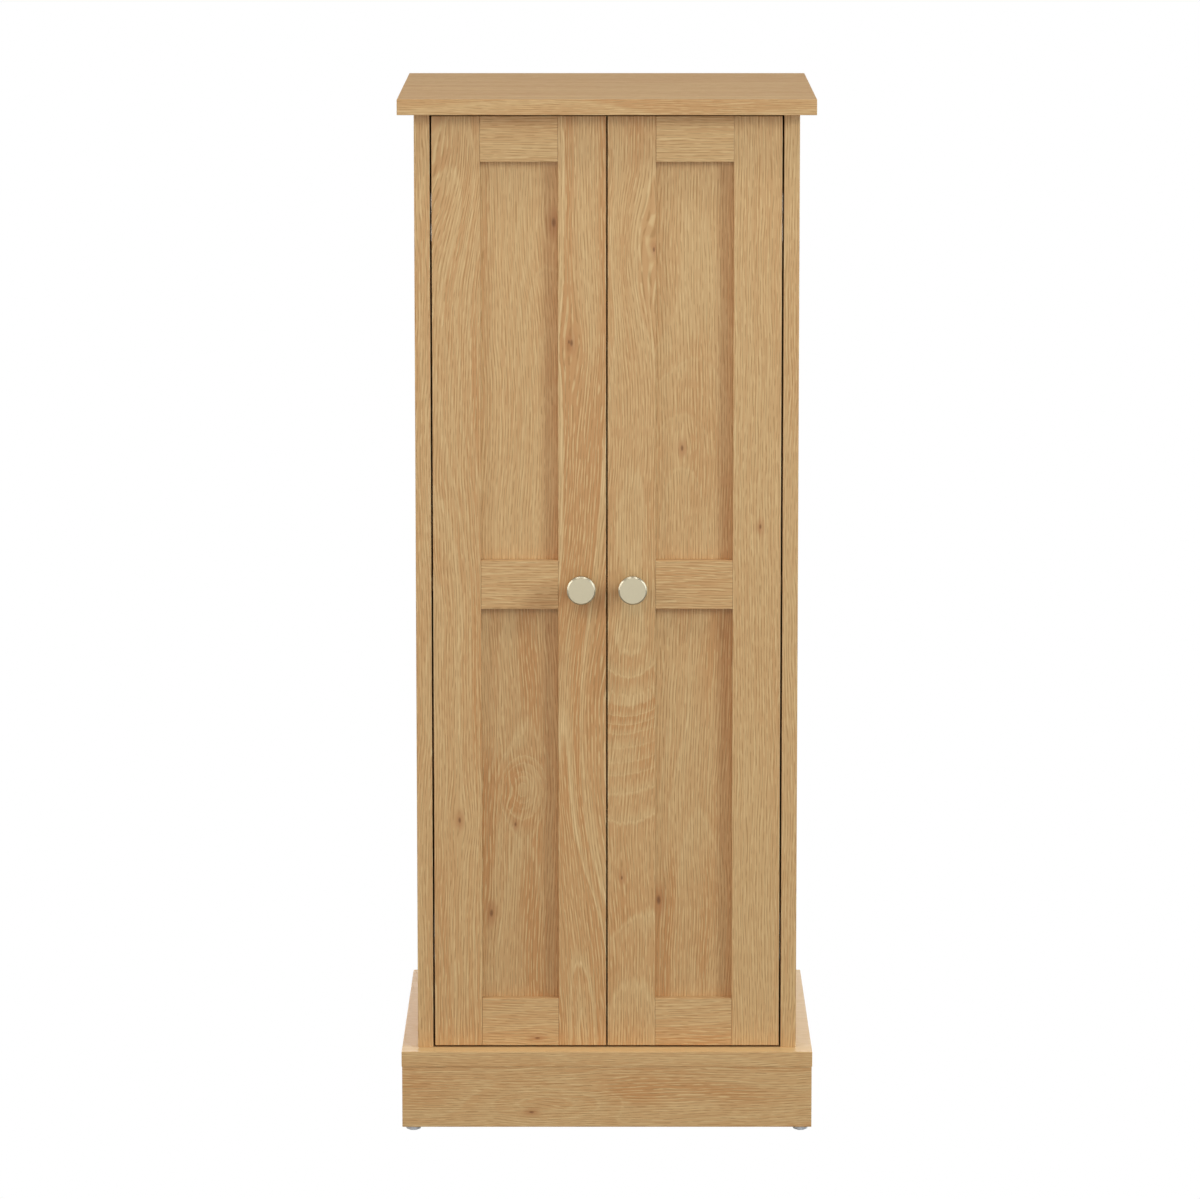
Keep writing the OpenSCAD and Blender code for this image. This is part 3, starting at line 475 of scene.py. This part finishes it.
def make_chipboard():
    """Raw edge of the boards: pale pressed wood chips with darker gaps."""
    material, tree, here = start_finish("chipboard")
    brown_chip, pale_chip, gap = linear(178, 142, 98), linear(214, 186, 146), linear(128, 94, 60)
    chips = add(tree, "ShaderNodeTexVoronoi", {"Vector": here, "Scale": 820.0}, feature="F1")
    spread = add(tree, "ShaderNodeSeparateColor", {0: chips.outputs["Color"]}).outputs[0]
    tint = blend_colour(tree, spread, brown_chip, pale_chip)
    gaps = ramp(tree, chips.outputs["Distance"], 0.5, 0.8, 0.0, 0.5)
    tint = blend_colour(tree, gaps, tint, gap)
    surface = lay_finish(tree, tint, ramp(tree, spread, 0.0, 1.0, 0.8, 0.95), spread,
                         strength=0.5, depth=0.0004)
    surface.inputs["Specular IOR Level"].default_value = 0.25
    return material


chipboard = make_chipboard()
arris = 0.0005
long_edge = 0.008
sharp_from = math.radians(60)
flat_within = math.radians(0.5)
same_place = 1e-6
facing = 0.9
upright_below = 0.5


def finish_board(node, skin, raw=None, raw_sides=(), rounding=arris, band=None):
    """The board itself with its long edges eased, its laminate, its raw sides and the band
    of its other edges."""
    source = nodes[node]
    shape = bmesh.new()
    shape.from_mesh(source.data)
    bmesh.ops.remove_doubles(shape, verts=shape.verts, dist=same_place)
    bmesh.ops.dissolve_limit(shape, angle_limit=flat_within, verts=shape.verts, edges=shape.edges)
    eased = [edge for edge in shape.edges
             if len(edge.link_faces) == 2 and edge.is_convex and edge.calc_length() > long_edge
             and edge.calc_face_angle() > sharp_from]
    bmesh.ops.bevel(shape, geom=eased, offset=rounding, offset_type="OFFSET", segments=2,
                    profile=0.5, affect="EDGES", material=-1, clamp_overlap=True)
    for face in shape.faces:
        face.smooth = False
        face.material_index = 0
        if any(face.normal.dot(Vector(side)) > facing for side in raw_sides):
            face.material_index = 1
        elif band and abs(face.normal.z) < upright_below:
            face.material_index = 2
    mesh = bpy.data.meshes.new(f"{node}_finish")
    shape.to_mesh(mesh)
    shape.free()
    given_normals = mesh.attributes.get("custom_normal")
    if given_normals is not None:
        mesh.attributes.remove(given_normals)
    mesh.materials.append(skin)
    if raw:
        mesh.materials.append(raw)
    if band:
        mesh.materials.append(band)
    board = bpy.data.objects.new(f"{node}_finish", mesh)
    scene.collection.objects.link(board)
    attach(board, source["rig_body"])
    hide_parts(node)


left, right = (-1, 0, 0), (1, 0, 0)
back, down, up = (0, 1, 0), (0, 0, -1), (0, 0, 1)
# The laminate faces of the base board are made much paler (tone 1.32) than its banded edges. This is
# painted light, standing in for the light that falls on its up-facing top in front of the doors.
base_oak_painted_light = oak("base_board_oak_painted_light", "base_board", flat, 1.0, pith=(0.30, 0.10), tilt=0.03,
               rings=0.4, red=0.1, tone=1.32)
base_band = oak("base_board_band", "base_board", flat, 13.0, pith=(0.30, 0.10), tilt=0.03,
                rings=0.4, red=0.5, tone=1.03, finer=1.4)
finish_board("base_board", base_oak_painted_light, chipboard, [back], band=base_band)

# Plinth: four boards on edge that carry the base board, laminated outside and inside.
# Their grain runs level, and their lower edges are raw.
plinth_looks = {
    "plinth_front": (level, 2.0, (0.0, 0.020), 0.01),
    "plinth_back": (level, 3.0, (0.20, 0.05), 0.05),
    "plinth_left": (((0, 0, 1), (0, 1, 0)), 4.0, (0.15, 0.05), 0.05),
    "plinth_right": (((0, 0, 1), (0, 1, 0)), 5.0, (0.15, 0.05), 0.05),
}
front_flame = dict(eyes=[(0.029, -0.050, 0.019, 0.080, 0.024)],
                   knots=[(0.0193, -0.0735, 0.0012, 0.012, 0.006)])
for node, (lie, seed, pith, tilt) in plinth_looks.items():
    flame = front_flame if node == "plinth_front" else {}
    skin = oak(f"{node}_oak", node, lie, seed, pith=pith, tilt=tilt, wander=0.03, rings=0.55,
               red=0.7, **flame)
    finish_board(node, skin, chipboard, [down])


# Corner blocks and dowels: bare wood. The pine blocks are sawn square and screwed into the
# corners of the plinth, the beech dowels are turned and glued between board faces and ends.
def make_softwood(name, tint, dark):
    """Bare wood with fine rings and fibres."""
    material, tree, here = start_finish(name)
    place = add(tree, "ShaderNodeSeparateXYZ", {0: here}).outputs
    x, y, z = (place[axis] for axis in "XYZ")
    fibre = noise(tree, calc(tree, "MULTIPLY", x, 700), calc(tree, "MULTIPLY", y, 700),
                  calc(tree, "MULTIPLY", z, 60), 3.0)
    rings = noise(tree, calc(tree, "MULTIPLY", x, 160), calc(tree, "MULTIPLY", y, 60),
                  calc(tree, "MULTIPLY", z, 8), 1.0)
    colour = blend_colour(tree, ramp(tree, rings, 0.4, 0.6, 0.0, 0.5), linear(*tint), linear(*dark))
    colour = blend_colour(tree, ramp(tree, fibre, 0.4, 0.7, 0.0, 0.35), colour, linear(*dark))
    lay_finish(tree, colour, ramp(tree, fibre, 0.2, 0.8, 0.6, 0.8), fibre, strength=0.4)
    return material


def paint(node, material):
    """Gives a CAD piece its material."""
    mesh = nodes[node].data
    mesh.materials.clear()
    mesh.materials.append(material)


pine = make_softwood("pine", (226, 196, 148), (190, 146, 92))
beech = make_softwood("beech", (216, 178, 132), (186, 140, 96))
paint("corner_blocks", pine)
paint("dowels", beech)


# Screws, cam bolts, shelf pins and the wall angle: steel with a bright zinc plate, plain
# grey, with small differences in how it shines.
def make_metal(name, tint, shine, spread, fineness):
    """Metal whose colour and shine vary a little by small patches."""
    material, tree, here = start_finish(name)
    place = add(tree, "ShaderNodeSeparateXYZ", {0: here}).outputs
    cloud = noise(tree, *(calc(tree, "MULTIPLY", place[axis], fineness) for axis in "XYZ"), 3.0)
    colour = blend_colour(tree, cloud, linear(*(part * 0.94 for part in tint)), linear(*tint))
    shines = ramp(tree, cloud, 0.25, 0.75, shine - spread, shine + spread)
    lay_finish(tree, colour, shines).inputs["Metallic"].default_value = 1.0
    return material


zinc_plate = make_metal("zinc_plate", (206, 208, 206), 0.34, 0.08, 400)
for node in ("block_screws", "cam_bolts", "shelf_pins", "wall_angle", "wall_angle_screws",
             "hinge_screws", "knob_screw_left", "knob_screw_right", "cup_screws_left",
             "cup_screws_right"):
    paint(node, zinc_plate)

# Cam locks: cast zinc drums with a slot for the driver, duller than the plated steel. Each
# turns in a round bore of a board and draws in the head of a cam bolt.
zinc_cast = make_metal("zinc_cast", (186, 186, 184), 0.48, 0.10, 900)
paint("cam_locks", zinc_cast)


# Glides: white moulded plastic discs, each with a nail, driven in under the corners of the
# plinth. They keep its raw lower edges off the floor.
def make_plastic(name, tint, shine, grain_size):
    """Moulded plastic with a faint orange-peel surface."""
    material, tree, here = start_finish(name)
    peel = add(tree, "ShaderNodeTexNoise",
               {"Vector": here, "Scale": 1 / grain_size, "Detail": 2.0}).outputs["Fac"]
    colour = blend_colour(tree, peel, linear(*(part * 0.97 for part in tint)), linear(*tint))
    shines = ramp(tree, peel, 0.3, 0.7, shine - 0.04, shine + 0.04)
    lay_finish(tree, colour, shines, peel, strength=0.15)
    return material


paint("glides", make_plastic("white_plastic", (236, 238, 244), 0.35, 0.0012))

# Side panels: oak-effect board from base to top, banded in front, raw at the back edge.
# Rows of shelf-pin holes and the bores of the fittings are drilled inside.
for node, seed in (("side_left", 6.0), ("side_right", 7.0)):
    skin = oak(f"{node}_oak", node, side_upright, seed, pith=(0.20, 0.12), tilt=0.02,
               rings=0.35, red=0.25)
    finish_board(node, skin, chipboard, [back, up, down])


# Back panel: 3 mm hardboard, printed with oak inside and bare brown behind. It is held in
# grooves of the sides, the top and the base.
def make_hardboard():
    """Bare back of the hardboard: brown pressed fibres with faint darker clouds."""
    material, tree, here = start_finish("hardboard")
    brown, pale_brown, stain = linear(128, 92, 60), linear(160, 122, 84), linear(120, 84, 54)
    fibres = add(tree, "ShaderNodeTexNoise",
                 {"Vector": here, "Scale": 900.0, "Detail": 4.0}).outputs["Fac"]
    cloud = add(tree, "ShaderNodeTexNoise",
                {"Vector": here, "Scale": 14.0, "Detail": 2.0}).outputs["Fac"]
    colour = blend_colour(tree, fibres, brown, pale_brown)
    colour = blend_colour(tree, ramp(tree, cloud, 0.4, 0.7, 0.0, 0.3), colour, stain)
    lay_finish(tree, colour, ramp(tree, fibres, 0.3, 0.7, 0.75, 0.9), fibres, strength=0.4)
    return material


panel_arris = 0.0002
back_oak = oak("back_panel_oak", "back_panel", upright, 8.0, pith=(0.05, 0.12), tilt=0.05,
               rings=0.45)
finish_board("back_panel", back_oak, make_hardboard(),
             [back, left, right, up, down], rounding=panel_arris)

# Shelves: the middle one is fixed with cams and dowels, the two others rest on pins.
# Their front edges are banded, their other edges raw.
for node, seed in (("fixed_shelf", 9.0), ("lower_shelf", 10.0), ("upper_shelf", 11.0)):
    skin = oak(f"{node}_oak", node, flat, seed, pith=(0.22, 0.10), tilt=0.03,
               rings=0.4, red=0.25)
    finish_board(node, skin, chipboard, [back, left, right])

# Top board: oak-effect board that stands out over the doors and the sides,
# with square banded edges in front and at both sides.
top_oak = oak("top_board_oak", "top_board", flat, 12.0, pith=(0.35, 0.10), tilt=0.02,
              ring_width=0.020, rings=1.3, red=0.5)
top_band = oak("top_board_band", "top_board", flat, 14.0, pith=(0.35, 0.10), tilt=0.02,
               rings=0.6, red=0.3, tone=0.97, finer=1.4)
finish_board("top_board", top_oak, chipboard, [back], band=top_band)

# Door stiles: bars wrapped in oak-effect film, grain upright, grooved for the panels and
# the tongues of the rails. The outer ones hold the hinge cups, the inner ones the knobs.
bar_arris = 0.0003
stile_looks = {
    "outer_stile_left": dict(seed=21.0, pith=(-0.03, 0.06), tilt=0.03, rings=0.6,
                             knots=[(-0.190, 1.000, 0.001, 0.065, 0.080),
                                    (-0.1430, 0.305, 0.0014, 0.014, 0.008)]),
    "inner_stile_left": dict(seed=22.0, pith=(0.002, 0.004), tilt=0.0, wander=0.010, ring_width=-0.012,
                             rings=1.2, red=0.3, rise=(0.034, 0.03, 0.30),
                             knots=[(-0.034, 0.771, 0.0016, 0.012, 0.005),
                                    (-0.0365, 0.772, 0.0010, 0.030, 0.012),
                                    (0.030, 0.385, 0.0001, 0.075, 0.055)]),
    "inner_stile_right": dict(seed=23.0, pith=(0.006, 0.130), tilt=0.0, wander=0.04, ring_width=0.008,
                              rings=0.7, red=0.5, rise=(-0.080, 0.28, 0.49),
                              knots=[(0.045, 0.861, 0.0012, 0.030, 0.030),
                                     (0.0145, 0.248, 0.0010, 0.008, 0.003)]),
    "outer_stile_right": dict(seed=24.0, pith=(0.07, 0.08), tilt=0.01, wander=0.02, rings=0.3, red=0.2,
                              knots=[(0.148, 0.593, 0.0012, 0.008, 0.002)]),
}
for node, look in stile_looks.items():
    finish_board(node, oak(f"{node}_oak", node, upright, **look), rounding=bar_arris)

# Door rails: the same wrapped bars laid level, three to a door, grooved for the panels.
# Their ends have tongues that are glued into the stiles.
for number, rail in enumerate(("top_rail", "middle_rail", "bottom_rail")):
    for side, offset in (("left", 31.0), ("right", 41.0)):
        node = f"{rail}_{side}"
        knots = [(0.0886, -0.0678, 0.0012, 0.008, 0.004)] if node == "bottom_rail_left" else ()
        # The top rails are made a little paler than the others. This is painted light that offsets the
        # shade cast on them by the top board's overhang.
        tone = 1.08 if rail == "top_rail" else 1.0
        skin = oak(f"{node}_oak", node, level, offset + number, pith=(0.05, 0.05), tilt=0.08,
                   wander=0.03, ring_width=0.006, rings=0.45, red=0.35, tone=tone, knots=knots)
        finish_board(node, skin, rounding=bar_arris)

# Door panels: thin boards with the same print, grain upright. They are held loose in the
# grooves, with their faces 10 mm behind those of the frame.
panel_looks = {
    "upper_panel_left": dict(seed=51.0, pith=(0.03, 0.06), tilt=0.03, wander=0.035,
                             rings=0.4, tone=1.06,
                             knots=[(-0.051, 0.886, 0.0022, 0.030, 0.012)]),
    "lower_panel_left": dict(seed=52.0, pith=(0.001, 0.060), tilt=-0.02, wander=0.03,
                             ring_width=0.007, rings=0.5, red=0.9, tone=0.95,
                             eyes=[(-0.083, 0.334, 0.021, 0.026, -0.034)],
                             knots=[(-0.1125, 0.211, 0.0018, 0.010, 0.004),
                                    (-0.089, 0.299, 0.0010, 0.006, 0.002)]),
    "upper_panel_right": dict(seed=53.0, pith=(-0.010, 0.03), tilt=0.0, wander=0.04,
                              ring_width=0.012, rings=0.35, red=0.45, tone=1.03,
                              rise=(0.03, 0.55, 0.80),
                              knots=[(0.0725, 0.668, 0.0014, 0.010, 0.004)]),
    "lower_panel_right": dict(seed=54.0, pith=(0.012, 0.07), tilt=0.02, wander=0.03, rings=0.4, red=0.7,
                              knots=[(0.0505, 0.224, 0.0022, 0.012, 0.006)]),
}
for node, look in panel_looks.items():
    finish_board(node, oak(f"{node}_oak", node, upright, **look),
                 rounding=panel_arris)

# Knobs: turned brass in a pale satin finish, with a flat face, a bright bevelled rim
# and a waisted neck, each held by a screw through the stile.
knob_steps = 128
crisp_from = math.radians(20)


def turn_knob(node):
    """A knob turned from its profile about the axis of the CAD knob."""
    low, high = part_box(node)
    middle_x = (low.x + high.x) / 2
    middle_z = (low.z + high.z) / 2
    foot = high.y
    radius = (high.x - low.x) / 2
    reach = high.y - low.y
    bevel = 0.0012
    softened = 0.0001
    behind_disc = reach - 0.008
    foot_radius = 0.0085
    foot_height = 0.002
    foot_round = 0.0003
    neck = 0.0055
    profile = [(0.0, 0.0), (foot_radius - foot_round, 0.0), (foot_radius, foot_round),
               (foot_radius, foot_height - foot_round), (foot_radius - foot_round, foot_height),
               (neck + 0.0016, 0.0026), (neck + 0.0005, 0.0038), (neck, 0.0060),
               (neck, behind_disc - 0.0048), (neck + 0.0006, behind_disc - 0.0026),
               (neck + 0.0020, behind_disc - 0.0010), (neck + 0.0048, behind_disc),
               (radius - 0.0016, behind_disc), (radius - 0.0004, behind_disc + 0.0004),
               (radius, behind_disc + 0.0012), (radius, reach - bevel - softened),
               (radius - softened, reach - bevel), (radius - bevel, reach - softened),
               (radius - bevel - softened, reach), (0.0, reach)]
    shape = bmesh.new()
    line = [shape.verts.new((middle_x + out, foot - forward, middle_z)) for out, forward in profile]
    edges = [shape.edges.new(pair) for pair in zip(line, line[1:])]
    bmesh.ops.spin(shape, geom=line + edges, cent=(middle_x, 0, middle_z), axis=(0, 1, 0),
                   angle=2 * math.pi, steps=knob_steps, use_merge=True)
    bmesh.ops.remove_doubles(shape, verts=shape.verts, dist=same_place)
    bmesh.ops.recalc_face_normals(shape, faces=shape.faces)
    for face in shape.faces:
        face.smooth = True
    for edge in shape.edges:
        edge.smooth = edge.calc_face_angle(0) < crisp_from
    mesh = bpy.data.meshes.new(f"{node}_turned")
    shape.to_mesh(mesh)
    shape.free()
    mesh.materials.append(satin_brass)
    knob = bpy.data.objects.new(f"{node}_turned", mesh)
    scene.collection.objects.link(knob)
    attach(knob, nodes[node]["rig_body"])
    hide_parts(node)


satin_brass = make_metal("satin_brass", (186, 179, 158), 0.34, 0.05, 500)
for node in ("knob_left", "knob_right"):
    turn_knob(node)

# Bumpers: small milky dots of soft plastic, stuck to the backs of the doors near their
# inner edges. They soften the closing against the fixed shelf.
soft_dot = make_plastic("clear_soft_plastic", (222, 222, 216), 0.5, 0.0008)
for node in ("bumper_left", "bumper_right"):
    paint(node, soft_dot)

# Concealed hinges: pressed steel with a bright nickel plate. Plate and arm are screwed
# to the side panel, the cup sits in its bore in the stile, and the link joins them.
nickel = make_metal("nickel_plate", (214, 210, 202), 0.24, 0.06, 300)
for node in ("hinge_plates", "hinge_arms", "hinge_pins", "hinge_cups_left", "hinge_cups_right",
             "hinge_links_left", "hinge_links_right"):
    paint(node, nickel)
